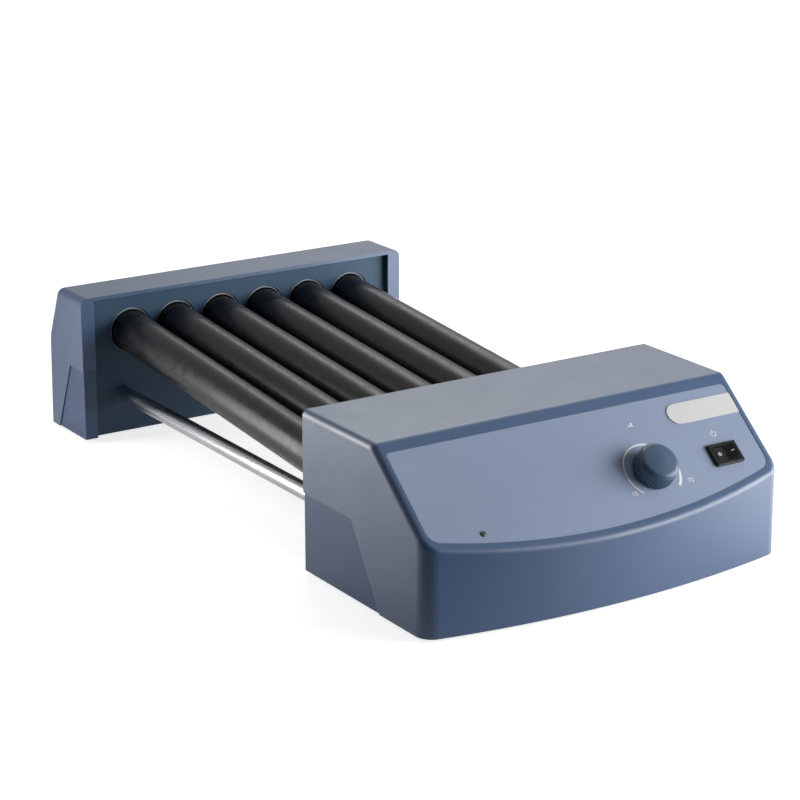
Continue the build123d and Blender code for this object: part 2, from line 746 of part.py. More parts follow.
with BuildPart() as carriage_plate:
    with BuildSketch(station(carriage_start)):
        with Locations((0, (carriage_top - carriage_bottom) / 2)):
            RectangleRounded(carriage_length, carriage_top + carriage_bottom, carriage_corner)
        with Locations(*[(x, 0) for x in roller_xs]):
            Circle(bush_diameter / 2, mode=Mode.SUBTRACT)
        with Locations((motor_x, -motor_drop)):
            Circle(gearbox_boss_radius + hole_clearance, mode=Mode.SUBTRACT)
        with Locations(*motor_screw_spots):
            Circle(motor_screw_diameter / 2 + hole_clearance, mode=Mode.SUBTRACT)
        with Locations(*[(s * lightening_x, -lightening_drop) for s in (-1, 1)]):
            RectangleRounded(lightening_width, lightening_height, lightening_corner, mode=Mode.SUBTRACT)
    extrude(amount=carriage_thickness)
carriage_plate.part.label = "carriage_plate"
export_step(carriage_plate.part, "parts/carriage_plate.step")

bush_steps = (
    (carriage_start - bush_flange_thickness, bush_diameter / 2 + bush_flange_width, bush_flange_thickness),
    (carriage_start, bush_diameter / 2, carriage_thickness + bush_tail),
)
with BuildPart() as journal_bearings:
    for start, radius, length in bush_steps:
        with BuildSketch(station(start)):
            with Locations(*[(x, 0) for x in roller_xs]):
                Circle(radius)
                Circle(journal_diameter / 2 + journal_clearance, mode=Mode.SUBTRACT)
        extrude(amount=length)
journal_bearings.part.label = "journal_bearings"
export_step(journal_bearings.part, "parts/journal_bearings.step")

# Gearbox and motor on the carriage, with their screws
boss_setback = 1.0
shaft_into_gearbox = 8.0
shaft_bore_depth = 10.0
motor_edge_radius = 1.5
motor_boss_radius = 4.0
motor_boss_height = 1.5
terminal_spread = 8.0
terminal_width = 3.0
terminal_thickness = 0.8
terminal_length = 4.0
motor_screw_head_radius = 2.8
motor_screw_head_height = 1.3

with BuildPart() as gearbox:
    with BuildSketch(station(gearbox_start)):
        with Locations((motor_x, -motor_drop)):
            Circle(gearbox_diameter / 2)
    extrude(amount=gearbox_length)
    with BuildSketch(station(carriage_start + boss_setback)):
        with Locations((motor_x, -motor_drop)):
            Circle(gearbox_boss_radius)
    extrude(amount=carriage_thickness - boss_setback)
    with BuildSketch(station(carriage_start)):
        with Locations((motor_x, -motor_drop)):
            Circle(drive_shaft_diameter / 2 + journal_clearance)
    extrude(amount=carriage_thickness + shaft_bore_depth, mode=Mode.SUBTRACT)
    with BuildSketch(station(gearbox_start)):
        with Locations(*motor_screw_spots):
            Circle(motor_screw_diameter / 2)
    extrude(amount=motor_screw_reach, mode=Mode.SUBTRACT)
gearbox.part.label = "gearbox"
export_step(gearbox.part, "parts/gearbox.step")

with BuildPart() as drive_motor:
    with BuildSketch(station(motor_start)):
        with Locations((motor_x, -motor_drop)):
            Circle(motor_diameter / 2)
    extrude(amount=motor_length)
    fillet(edges().sort_by(Axis.Y)[0], motor_edge_radius)
    with BuildSketch(station(motor_start + motor_length)):
        with Locations((motor_x, -motor_drop)):
            Circle(motor_boss_radius)
    extrude(amount=motor_boss_height)
    with BuildSketch(station(motor_start + motor_length)):
        with Locations(*[(motor_x + s * terminal_spread, -motor_drop) for s in (-1, 1)]):
            Rectangle(terminal_thickness, terminal_width)
    extrude(amount=terminal_length)
drive_motor.part.label = "drive_motor"
export_step(drive_motor.part, "parts/drive_motor.step")

with BuildPart() as motor_screws:
    with BuildSketch(station(carriage_start)):
        with Locations(*motor_screw_spots):
            Circle(motor_screw_diameter / 2)
    extrude(amount=carriage_thickness + motor_screw_reach - boss_setback)
    with BuildSketch(station(carriage_start)):
        with Locations(*motor_screw_spots):
            Circle(motor_screw_head_radius)
    extrude(amount=-motor_screw_head_height)
motor_screws.part.label = "motor_screws"
export_step(motor_screws.part, "parts/motor_screws.step")


def pulley_part(x, drop, pitch_radius, bore_radius, grooves, hub_radius):
    """Pulley for round belts: the given grooves, counted from the crank side, and a hub."""
    rim_radius = pitch_radius + pulley_rim
    groove_radius = belt_diameter / 2 + belt_clearance
    with BuildPart() as pulley:
        with BuildSketch(station(pulley_start)):
            with Locations((x, -drop)):
                Circle(hub_radius)
        extrude(amount=pulley_length)
        with BuildSketch(station(pulley_start)):
            with Locations((x, -drop)):
                Circle(rim_radius)
        extrude(amount=grooves * groove_pitch)
        with BuildSketch(axial_plane(x, drop)):
            for i in range(grooves):
                along = pulley_start + (i + 0.5) * groove_pitch
                with Locations((pitch_radius, along)):
                    Circle(groove_radius)
                with Locations((pitch_radius + pulley_rim, along)):
                    Rectangle(2 * pulley_rim, 2 * groove_radius)
        revolve(axis=shaft_axis(x, drop), mode=Mode.SUBTRACT)
        with BuildSketch(station(pulley_start)):
            with Locations((x, -drop)):
                Circle(bore_radius)
        extrude(amount=pulley_length, mode=Mode.SUBTRACT)
    return pulley.part


def shaft_axis(x, drop):
    """Axis of a shaft of the rocking frame."""
    plane = station(0)
    start = plane.from_local_coords((x, -drop, 0))
    return Axis(start, plane.z_dir)


def belt_loop(x_a, drop_a, radius_a, x_b, drop_b, radius_b, groove):
    """Round belt around two pulleys, in the middle of the given groove."""
    distance = math.hypot(x_b - x_a, drop_b - drop_a)
    heading = math.atan2(-(drop_b - drop_a), x_b - x_a)
    lean = math.asin((radius_a - radius_b) / distance)
    plane = station(pulley_start + (groove + 0.5) * groove_pitch)

    def spot(x, drop, radius, angle):
        return (x + radius * math.cos(angle), -drop + radius * math.sin(angle))

    up = heading + math.pi / 2 - lean
    down = heading - math.pi / 2 + lean
    a_up = spot(x_a, drop_a, radius_a, up)
    a_far = spot(x_a, drop_a, radius_a, heading + math.pi)
    a_down = spot(x_a, drop_a, radius_a, down)
    b_up = spot(x_b, drop_b, radius_b, up)
    b_far = spot(x_b, drop_b, radius_b, heading)
    b_down = spot(x_b, drop_b, radius_b, down)
    with BuildPart() as belt:
        with BuildLine(plane) as route:
            Line(b_up, a_up)
            ThreePointArc(a_up, a_far, a_down)
            Line(a_down, b_down)
            ThreePointArc(b_down, b_far, b_up)
        with BuildSketch(Plane(origin=route.wires()[0] @ 0, z_dir=route.wires()[0] % 0)):
            Circle(belt_diameter / 2)
        sweep(path=route.wires()[0])
    return belt.part


# Rollers, numbered from the left: sleeve, end caps with socket and journal, and pulley
plug_length = 14.0
cap_lip = 1.5
cap_lip_step = 2.0
journal_tail = 4.0
sleeve_chamfer = 0.8
bore_r = roller_bore / 2
journal_end = carriage_start + carriage_thickness + journal_tail
socket_r = ball_diameter / 2 + ball_clearance

for number, x in enumerate(roller_xs, start=1):
    with BuildPart() as sleeve:
        with BuildSketch(station(-socket_lip)):
            with Locations((x, 0)):
                Circle(roller_diameter / 2)
                Circle(bore_r, mode=Mode.SUBTRACT)
        extrude(amount=sleeve_front + socket_lip)
        outer_edges = edges().filter_by(GeomType.CIRCLE).group_by(SortBy.RADIUS)[-1]
        chamfer(outer_edges, sleeve_chamfer)
    sleeve.part.label = f"roller_{number}_sleeve"
    export_step(sleeve.part, f"parts/roller_{number}_sleeve.step")

    with BuildPart() as caps:
        with BuildSketch(station(-socket_lip)):
            with Locations((x, 0)):
                Circle(bore_r)
        extrude(amount=socket_lip + plug_length)
        with Locations((x, pivot_y, pivot_height)):
            Sphere(socket_r, mode=Mode.SUBTRACT)
        with BuildSketch(station(sleeve_front - plug_length)):
            with Locations((x, 0)):
                Circle(bore_r)
        extrude(amount=plug_length)
        with BuildSketch(station(sleeve_front)):
            with Locations((x, 0)):
                Circle(bore_r - cap_lip_step)
        extrude(amount=cap_lip)
        with BuildSketch(station(sleeve_front)):
            with Locations((x, 0)):
                Circle(journal_diameter / 2)
        extrude(amount=journal_end - sleeve_front)
    caps.part.label = f"roller_{number}_end_caps"
    export_step(caps.part, f"parts/roller_{number}_end_caps.step")

    pulley = pulley_part(x, 0, pulley_pitch_radius, journal_diameter / 2, 3, pulley_pitch_radius - 1)
    pulley.label = f"roller_{number}_pulley"
    export_step(pulley, f"parts/roller_{number}_pulley.step")

# Belts from roller to roller, and from the motor to one roller
with BuildPart() as journal_belts:
    for i in range(roller_count - 1):
        x, next_x = roller_xs[i], roller_xs[i + 1]
        groove = 2 - i % 2
        add(belt_loop(x, 0, pulley_pitch_radius, next_x, 0, pulley_pitch_radius, groove))
journal_belts.part.label = "journal_belts"
export_step(journal_belts.part, "parts/journal_belts.step")

driven_x = roller_xs[driven_roller]
motor_belt = belt_loop(motor_x, motor_drop, drive_pitch_radius, driven_x, 0, pulley_pitch_radius, 0)
motor_belt.label = "motor_belt"
export_step(motor_belt, "parts/motor_belt.step")

# Drive shaft with its pulley and crank disc
drive_hub_radius = 5.0
crank_disc_rim = 2.5
disc_hole_count = 3
disc_hole_radius = 3.0
disc_hole_share = 0.62
disc_hole_start = -30.0

with BuildPart() as drive_shaft:
    with BuildSketch(station(disc_start)):
        with Locations((motor_x, -motor_drop)):
            Circle(drive_shaft_diameter / 2)
    extrude(amount=gearbox_start + shaft_into_gearbox - disc_start)
drive_shaft.part.label = "drive_shaft"
export_step(drive_shaft.part, "parts/drive_shaft.step")

drive_bore_radius = drive_shaft_diameter / 2
drive_pulley = pulley_part(motor_x, motor_drop, drive_pitch_radius, drive_bore_radius, 1, drive_hub_radius)
drive_pulley.label = "drive_pulley"
export_step(drive_pulley, "parts/drive_pulley.step")

disc_radius = crank_radius + crank_pin_diameter / 2 + crank_disc_rim
with BuildPart() as crank_disc:
    with BuildSketch(station(disc_start)):
        with Locations((motor_x, -motor_drop)):
            Circle(disc_radius)
            Circle(drive_shaft_diameter / 2, mode=Mode.SUBTRACT)
        with PolarLocations(disc_radius * disc_hole_share, disc_hole_count, disc_hole_start, rotate=False):
            with Locations((motor_x, -motor_drop)):
                Circle(disc_hole_radius, mode=Mode.SUBTRACT)
    extrude(amount=crank_disc_thickness)
    with BuildSketch(station(crank_start)):
        with Locations((motor_x, -motor_drop + crank_radius)):
            Circle(crank_pin_diameter / 2)
    extrude(amount=crank_pin_length)
crank_disc.part.label = "crank_disc"
export_step(crank_disc.part, "parts/crank_disc.step")

# Control panel overlay and badge plate
overlay_face = overlay_thickness - overlay_pocket
with BuildPart() as panel_overlay:
    with BuildSketch(panel_plane.offset(-overlay_pocket)):
        add(overlay_outline(overlay_gap))
    extrude(amount=overlay_thickness)
    with BuildSketch(panel_plane):
        with Locations((knob_x, -knob_down)):
            Circle(pot_bush_diameter / 2 + hole_clearance)
        with Locations((switch_x, -switch_down)):
            Rectangle(switch_cut_width, switch_cut_height)
        with Locations((lamp_x, -lamp_down)):
            Circle(lamp_diameter / 2 + hole_clearance)
    extrude(amount=2 * overlay_pocket, both=True, mode=Mode.SUBTRACT)
panel_overlay.part.label = "panel_overlay"
export_step(panel_overlay.part, "parts/panel_overlay.step")

badge_right_x = half_width - overlay_side_margin - badge_side_gap
with BuildPart() as badge_plate:
    with BuildSketch(panel_plane.offset(overlay_face)):
        with BuildLine():
            badge_r = badge_height / 2
            low = -badge_down - badge_r
            high = -badge_down + badge_r
            Polyline((badge_left_x + badge_r, low), (badge_right_x, low), (badge_right_x, high))
            Line((badge_right_x, high), (badge_left_x + badge_r, high))
            ThreePointArc(
                (badge_left_x + badge_r, high),
                (badge_left_x, -badge_down),
                (badge_left_x + badge_r, low),
            )
        make_face()
    extrude(amount=badge_thickness)
badge_plate.part.label = "badge_plate"
export_step(badge_plate.part, "parts/badge_plate.step")

# Power lamp lens, held from behind by its flange
lamp_proud = 0.3
lamp_crown_radius = 0.8
lamp_flange_width = 0.8
lamp_flange_thickness = 1.2
with BuildPart() as lamp_lens:
    with BuildSketch(panel_at(lamp_x, lamp_down).offset(-wall)):
        Circle(lamp_diameter / 2)
    extrude(amount=wall + lamp_proud)
    fillet(edges().filter_by(GeomType.CIRCLE).sort_by(Axis.Z)[-1], lamp_crown_radius)
    with BuildSketch(panel_at(lamp_x, lamp_down).offset(-wall)):
        Circle(lamp_diameter / 2 + lamp_flange_width)
    extrude(amount=-lamp_flange_thickness)
lamp_lens.part.label = "lamp_lens"
export_step(lamp_lens.part, "parts/lamp_lens.step")

# Speed potentiometer behind the panel, its nut, its shaft and the knob
pot_body_diameter = 17.0
pot_body_depth = 8.0
pot_floor = 1.5
pot_shaft_end_gap = 0.5
pot_terminal_width = 13.0
pot_terminal_length = 9.0
pot_bush_height = 3.0
pot_nut_width = 10.0
pot_nut_height = 2.0
pot_shaft_radius = 3.0
pot_shaft_top = 10.0
knob_gap = 0.8
knob_plane = panel_at(knob_x, knob_down)

with BuildPart() as speed_potentiometer:
    with BuildSketch(knob_plane.offset(-wall)):
        Circle(pot_body_diameter / 2)
        with Locations((0, -pot_body_diameter / 2)):
            Rectangle(pot_terminal_width, pot_terminal_length)
    extrude(amount=-pot_body_depth)
    with BuildSketch(knob_plane.offset(-wall)):
        Circle(pot_bush_diameter / 2)
    extrude(amount=wall + overlay_face + pot_bush_height)
    with BuildSketch(knob_plane.offset(-wall - pot_body_depth + pot_floor)):
        Circle(pot_shaft_radius + journal_clearance)
    extrude(amount=pot_body_depth + wall + pot_shaft_top, mode=Mode.SUBTRACT)
speed_potentiometer.part.label = "speed_potentiometer"
export_step(speed_potentiometer.part, "parts/speed_potentiometer.step")

with BuildPart() as potentiometer_nut:
    with BuildSketch(knob_plane.offset(overlay_face)):
        RegularPolygon(pot_nut_width / 2, 6, major_radius=False)
        Circle(pot_bush_diameter / 2, mode=Mode.SUBTRACT)
    extrude(amount=pot_nut_height)
potentiometer_nut.part.label = "potentiometer_nut"
export_step(potentiometer_nut.part, "parts/potentiometer_nut.step")

with BuildPart() as potentiometer_shaft:
    with BuildSketch(knob_plane.offset(-wall - pot_body_depth + pot_floor + pot_shaft_end_gap)):
        Circle(pot_shaft_radius)
    extrude(amount=wall + pot_body_depth - pot_floor - pot_shaft_end_gap + pot_shaft_top)
potentiometer_shaft.part.label = "potentiometer_shaft"
export_step(potentiometer_shaft.part, "parts/potentiometer_shaft.step")

knob_draft = 0.4
knob_shoulder_inset = 1.0
knob_shoulder_rise = 0.9
knob_crown_drop = 0.7
knob_crown_share = 0.62
knob_cavity_r = 8.5
knob_cavity_depth = 4.0
flute_radius = 0.8
flute_offset = 0.25
flute_runout = 0.3
knob_r = knob_diameter / 2
knob_top_r = knob_r - knob_shoulder_inset
knob_shoulder = knob_skirt_height + knob_shoulder_rise
with BuildPart() as speed_knob:
    with BuildSketch(Plane.XZ):
        with BuildLine():
            Polyline(
                (0, knob_gap),
                (knob_r, knob_gap),
                (knob_r - knob_draft, knob_skirt_height),
                (knob_top_r, knob_shoulder),
            )
            Spline(
                (knob_top_r, knob_shoulder),
                (knob_top_r * knob_crown_share, knob_height - knob_crown_drop),
                (0, knob_height),
                tangents=((-0.55, 1), (-1, 0)),
            )
            Line((0, knob_height), (0, knob_gap))
        make_face()
    revolve(axis=Axis.Z)
    with BuildSketch(Plane.XY.offset(knob_gap)):
        with PolarLocations(knob_r + flute_offset, knob_flutes):
            Circle(flute_radius)
    extrude(amount=knob_skirt_height - knob_gap + flute_runout, mode=Mode.SUBTRACT)
    with BuildSketch(Plane.XY.offset(knob_gap)):
        Circle(knob_cavity_r)
    extrude(amount=knob_cavity_depth, mode=Mode.SUBTRACT)
    with BuildSketch(Plane.XY.offset(knob_gap)):
        Circle(pot_shaft_radius)
    extrude(amount=pot_shaft_top - knob_gap, mode=Mode.SUBTRACT)
speed_knob_part = speed_knob.part.moved(knob_plane.location)
speed_knob_part.label = "speed_knob"
export_step(speed_knob_part, "parts/speed_knob.step")

# Rocker switch: body with bezel, and the rocker on its pivot
switch_plane = panel_at(switch_x, switch_down)
bezel_height = 1.8
bezel_corner = 1.0
bezel_chamfer = 0.5
switch_body_depth = 15.0
switch_body_gap = 0.2
switch_floor = 2.0
switch_opening_width = 15.8
switch_opening_height = 9.8
blade_spread = 4.0
blade_width = 4.8
blade_thickness = 0.8
blade_length = 7.0
rocker_clearance = 0.4
rocker_pivot_depth = 1.0
rocker_dish = 14.0
rocker_dish_drop = 0.6
rocker_foot = 2.5
rocker_reach = switch_opening_width / 2 - rocker_clearance
rocker_dish_level = bezel_height + rocker_pivot_depth - rocker_dish_drop

with BuildPart() as switch_body:
    with BuildSketch(switch_plane.offset(overlay_face)):
        RectangleRounded(switch_bezel_width, switch_bezel_height, bezel_corner)
    extrude(amount=bezel_height)
    chamfer(edges().group_by(Axis(switch_plane.origin, switch_plane.z_dir))[-1], bezel_chamfer)
    with BuildSketch(switch_plane.offset(overlay_face)):
        Rectangle(switch_cut_width - 2 * switch_body_gap, switch_cut_height - 2 * switch_body_gap)
    extrude(amount=-switch_body_depth)
    with BuildSketch(switch_plane.offset(overlay_face - switch_body_depth + switch_floor)):
        Rectangle(switch_opening_width, switch_opening_height)
    extrude(amount=switch_body_depth + 2 * bezel_height, mode=Mode.SUBTRACT)
    with BuildSketch(switch_plane.offset(overlay_face - switch_body_depth)):
        with Locations((-blade_spread, 0), (blade_spread, 0)):
            Rectangle(blade_thickness, blade_width)
    extrude(amount=-blade_length)
switch_body.part.label = "switch_body"
export_step(switch_body.part, "parts/switch_body.step")

with BuildPart() as switch_rocker:
    with BuildSketch(Plane.XZ):
        Circle(rocker_reach)
        for side in (-1, 1):
            with BuildLine():
                rise = math.tan(math.radians(rocker_dish))
                Polyline(
                    (0, rocker_dish_level),
                    (side * 2 * rocker_reach, rocker_dish_level + 2 * rocker_reach * rise),
                    (0, 3 * rocker_reach),
                    close=True,
                )
            make_face(mode=Mode.SUBTRACT)
        with Locations((0, -1.5 * rocker_reach - rocker_foot)):
            Rectangle(3 * rocker_reach, 3 * rocker_reach, mode=Mode.SUBTRACT)
    extrude(amount=switch_opening_height / 2 - rocker_clearance, both=True)
rocker_rest = Location((0, 0, overlay_face - rocker_pivot_depth), (0, 1, 0), -rocker_throw)
switch_rocker_part = switch_rocker.part.moved(switch_plane.location * rocker_rest)
switch_rocker_part.label = "switch_rocker"
export_step(switch_rocker_part, "parts/switch_rocker.step")

# Control board on standoffs behind the panel
board_width = 72.0
board_height = 40.0
board_thickness = 1.6
standoff_length = 10.0
standoff_width = 5.5
standoff_inset = 4.0
capacitor_radius = 4.0
capacitor_height = 11.0
capacitor_spots = ((-22, 8), (-10, 8))
chip_height = 3.0
chips = ((12, 4, 10, 10), (24, -10, 14, 6), (-14, -12, 16, 7))
standoff_x = board_width / 2 - standoff_inset
standoff_y = board_height / 2 - standoff_inset
standoff_spots = [(sx * standoff_x, sy * standoff_y) for sx in (-1, 1) for sy in (-1, 1)]
board_plane = panel_at(board_x, board_down).offset(-wall - standoff_length)

with BuildPart() as board_standoffs:
    with BuildSketch(board_plane):
        with Locations(*standoff_spots):
            RegularPolygon(standoff_width / 2, 6, major_radius=False)
    extrude(amount=standoff_length)
board_standoffs.part.label = "board_standoffs"
export_step(board_standoffs.part, "parts/board_standoffs.step")

with BuildPart() as control_board:
    with BuildSketch(board_plane):
        Rectangle(board_width, board_height)
    extrude(amount=-board_thickness)
    with BuildSketch(board_plane.offset(-board_thickness)):
        with Locations(*capacitor_spots):
            Circle(capacitor_radius)
    extrude(amount=-capacitor_height)
    with BuildSketch(board_plane.offset(-board_thickness)):
        for chip_x, chip_y, chip_width, chip_length in chips:
            with Locations((chip_x, chip_y)):
                Rectangle(chip_width, chip_length)
    extrude(amount=-chip_height)
control_board.part.label = "control_board"
export_step(control_board.part, "parts/control_board.step")

# Power inlet in the right ear of the front tray
inlet_flange_width = 1.5
inlet_depth = 16.0
inlet_skin = 0.1
socket_radius = 3.0
socket_depth = 9.0
pin_radius = 1.0
pin_length = 7.0
inlet_plane = Plane(origin=(half_width - ear_recess, inlet_y, inlet_z), x_dir=(0, 1, 0), z_dir=(1, 0, 0))
with BuildPart() as power_inlet:
    with BuildSketch(inlet_plane):
        Circle(inlet_diameter / 2 + inlet_flange_width)
    extrude(amount=ear_recess - inlet_skin)
    with BuildSketch(inlet_plane):
        Circle(inlet_diameter / 2)
    extrude(amount=-inlet_depth)
    with BuildSketch(inlet_plane.offset(ear_recess)):
        Circle(socket_radius)
    extrude(amount=-socket_depth - ear_recess, mode=Mode.SUBTRACT)
    with BuildSketch(inlet_plane.offset(-socket_depth)):
        Circle(pin_radius)
    extrude(amount=pin_length)
power_inlet.part.label = "power_inlet"
export_step(power_inlet.part, "parts/power_inlet.step")
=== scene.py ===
import json
import math

import bmesh
import bpy
from mathutils import Matrix, Vector


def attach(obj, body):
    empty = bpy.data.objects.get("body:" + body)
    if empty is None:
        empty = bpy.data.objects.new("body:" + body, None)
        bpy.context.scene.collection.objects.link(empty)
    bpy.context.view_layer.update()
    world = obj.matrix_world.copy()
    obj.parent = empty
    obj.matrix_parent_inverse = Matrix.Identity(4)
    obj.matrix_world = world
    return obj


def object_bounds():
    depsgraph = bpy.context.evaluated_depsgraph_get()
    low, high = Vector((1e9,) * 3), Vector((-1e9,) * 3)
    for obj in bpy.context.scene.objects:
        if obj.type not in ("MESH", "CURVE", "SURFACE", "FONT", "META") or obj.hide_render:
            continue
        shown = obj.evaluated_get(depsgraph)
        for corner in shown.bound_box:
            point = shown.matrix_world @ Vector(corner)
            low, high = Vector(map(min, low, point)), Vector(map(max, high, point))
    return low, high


# Looks of the tube roller: printed marks, finishes, floor, lights and camera. All sizes are in metres.
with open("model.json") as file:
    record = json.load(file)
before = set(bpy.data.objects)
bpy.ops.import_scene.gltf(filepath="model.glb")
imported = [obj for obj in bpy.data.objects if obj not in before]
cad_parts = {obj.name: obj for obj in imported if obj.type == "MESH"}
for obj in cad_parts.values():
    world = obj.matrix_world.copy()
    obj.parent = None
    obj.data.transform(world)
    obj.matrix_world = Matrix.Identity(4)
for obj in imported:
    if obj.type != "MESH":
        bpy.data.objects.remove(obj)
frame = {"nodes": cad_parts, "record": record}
cad_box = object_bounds()

# Sloping control panel, as in the part: the crease at its top, its angle, and the sheet let into it.
# A place on the panel is a distance to the right of the middle and one down the slope from the crease.
crease_from_front = 0.064
crease_y = cad_box[0][1] + crease_from_front
top_z = cad_box[1][2]
panel_angle = math.radians(40.4)
sheet_level = -0.0002

# Prints on the sheet, with a hair of room under them
print_thickness = 0.00006
print_gap = 0.00002
print_level = sheet_level + print_gap

# Speed scale round the knob, which grows wider clockwise, and its end numbers
knob_place = (0.0376, 0.0514)
scale_radius = 0.0173
scale_start = math.radians(-135)
scale_sweep = math.radians(270)
scale_first_width = 0.0006
scale_last_width = 0.0016
scale_steps = 72
figure_height = 0.0044
low_number_place = (0.0193, 0.0628)
high_number_place = (0.0586, 0.0622)

# Symbol over the knob: three bars on one line, each taller than the one before it
speed_symbol_place = (0.0387, 0.0216)
bar_width = 0.0011
bar_spacing = 0.0018
middle_bar_height = 0.0014
bar_growth = 0.0012

# Symbol over the switch: a ring that is open at the top, with an upright line in the gap
power_symbol_place = (0.0894, 0.0372)
ring_radius = 0.0017
ring_start = math.radians(55)
ring_end = math.radians(-235)
ring_steps = 36
ring_width = 0.0005
upright_height = 0.0022
upright_middle = 0.0015

# Rocker, as in the part: its pivot under the sheet, its tilt at rest and the dish of its face
switch_place = (0.0894, 0.0512)
rocker_pivot_depth = 0.001
rocker_throw = math.radians(12.0)
rocker_dish = math.radians(14.0)
rocker_dish_level = 0.0022

# Marks on the rocker, each at its reach from the pivot: a bar on the raised side, a ring on the pressed side
on_mark_reach = 0.0046
on_bar_length = 0.0022
on_bar_width = 0.0006
off_mark_reach = 0.0036
off_ring_radius = 0.0009
off_ring_width = 0.0004
off_ring_steps = 28


def panel_frame(x, down, lift):
    """Matrix of a spot on the panel: X to the right, Y up the slope, Z outwards."""
    run, rise = math.cos(panel_angle), math.sin(panel_angle)
    out = Vector((0, -rise, run))
    place = Vector((x, crease_y - down * run, top_z - down * rise)) + out * lift
    turn = Matrix(((1, 0, 0), (0, run, -rise), (0, rise, run)))
    return Matrix.Translation(place) @ turn.to_4x4()


def add_piece(name, mesh, matrix, body):
    """A finished mesh as a piece that rides on a body."""
    piece = bpy.data.objects.new(name, mesh)
    bpy.context.collection.objects.link(piece)
    piece.matrix_world = matrix
    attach(piece, body)
    return piece


def plate_mesh(name, outlines, thickness):
    """Thin printed marks: each outline is a closed run of points, filled and given a thickness."""
    form = bmesh.new()
    for outline in outlines:
        low = [form.verts.new((x, y, 0)) for x, y in outline]
        high = [form.verts.new((x, y, thickness)) for x, y in outline]
        form.faces.new(high)
        form.faces.new(low[::-1])
        for i in range(len(outline)):
            j = (i + 1) % len(outline)
            form.faces.new((low[i], low[j], high[j], high[i]))
    mesh = bpy.data.meshes.new(name)
    form.to_mesh(mesh)
    form.free()
    return mesh


def band(radius, start, end, start_width, end_width, steps):
    """Outlines of quads along an arc whose width goes evenly from start_width to end_width."""
    turning = 1 if end > start else -1
    quads = []
    for i in range(steps):
        corners = []
        for k in (i, i + 1):
            share = k / steps
            angle = start + (end - start) * share
            half = (start_width + (end_width - start_width) * share) / 2
            for r in (radius - half, radius + half):
                corners.append((r * math.cos(angle), r * math.sin(angle)))
        near_inner, near_outer, far_inner, far_outer = corners
        quads.append([near_inner, near_outer, far_outer, far_inner][::turning])
    return quads


def rectangle(x, y, width, height):
    """Closed outline of a rectangle about a centre."""
    return [
        (x - width / 2, y - height / 2),
        (x + width / 2, y - height / 2),
        (x + width / 2, y + height / 2),
        (x - width / 2, y + height / 2),
    ]


def number_mesh(name, text, height, thickness):
    """Plain figures as a filled mesh, centred on their own middle."""
    curve = bpy.data.curves.new(name, "FONT")
    curve.body = text
    curve.size = height
    curve.extrude = thickness / 2
    curve.align_x = "CENTER"
    curve.align_y = "CENTER"
    holder = bpy.data.objects.new(name, curve)
    bpy.context.collection.objects.link(holder)
    bpy.context.view_layer.update()
    graph = bpy.context.evaluated_depsgraph_get()
    mesh = bpy.data.meshes.new_from_object(holder.evaluated_get(graph))
    bpy.data.objects.remove(holder)
    mesh.materials.clear()
    return mesh


# Printed marks on the sheet: the speed scale with its end numbers, and two plain symbols
scale_end = scale_start - scale_sweep
scale_quads = band(scale_radius, scale_start, scale_end, scale_first_width, scale_last_width, scale_steps)
speed_scale = plate_mesh("speed_scale", scale_quads, print_thickness)
marks = [add_piece("speed_scale", speed_scale, panel_frame(*knob_place, print_level), "root")]

for name, text, place in (
    ("scale_low_number", "10", low_number_place),
    ("scale_high_number", "70", high_number_place),
):
    figures = number_mesh(name, text, figure_height, print_thickness)
    spot = panel_frame(*place, print_level + print_thickness / 2)
    marks.append(add_piece(name, figures, spot, "root"))

rising_bars = [
    rectangle(bar_spacing * i, bar_growth / 2 * i, bar_width, middle_bar_height + bar_growth * i)
    for i in (-1, 0, 1)
]
open_ring = band(ring_radius, ring_start, ring_end, ring_width, ring_width, ring_steps)
upright = rectangle(0, upright_middle, ring_width, upright_height)
for name, outlines, place in (
    ("speed_symbol", rising_bars, speed_symbol_place),
    ("power_symbol", open_ring + [upright], power_symbol_place),
):
    symbol = plate_mesh(name, outlines, print_thickness)
    marks.append(add_piece(name, symbol, panel_frame(*place, print_level), "root"))

on_bar = rectangle(0, 0, on_bar_length, on_bar_width)
off_ring = band(off_ring_radius, 0, 2 * math.pi, off_ring_width, off_ring_width, off_ring_steps)
rocker_pivot = panel_frame(*switch_place, sheet_level - rocker_pivot_depth)
rocker_rest = rocker_pivot @ Matrix.Rotation(-rocker_throw, 4, "Y")
for name, side, reach, outlines in (
    ("rocker_on_mark", 1, on_mark_reach, [on_bar]),
    ("rocker_off_mark", -1, off_mark_reach, off_ring),
):
    mark = plate_mesh(name, outlines, print_thickness)
    rise = rocker_dish_level + reach * math.tan(rocker_dish)
    lie = Matrix.Translation((side * reach, 0, rise)) @ Matrix.Rotation(-side * rocker_dish, 4, "Y")
    marks.append(add_piece(name, mark, rocker_rest @ lie, "rocker"))


def joined(tree, operation, first, second):
    """Two values, either of them a number or a socket, through one math node."""
    made = tree.nodes.new("ShaderNodeMath")
    made.operation = operation
    for socket, value in zip(made.inputs, (first, second)):
        if isinstance(value, (int, float)):
            socket.default_value = value
        else:
            tree.links.new(value, socket)
    return made.outputs["Value"]


def ranged(tree, value, from_low, from_high, to_low, to_high, curve="LINEAR"):
    """A value taken from one range to another and held at its ends."""
    made = tree.nodes.new("ShaderNodeMapRange")
    made.interpolation_type = curve
    for socket, limit in (
        ("From Min", from_low),
        ("From Max", from_high),
        ("To Min", to_low),
        ("To Max", to_high),
    ):
        made.inputs[socket].default_value = limit
    tree.links.new(value, made.inputs["Value"])
    return made.outputs["Result"]


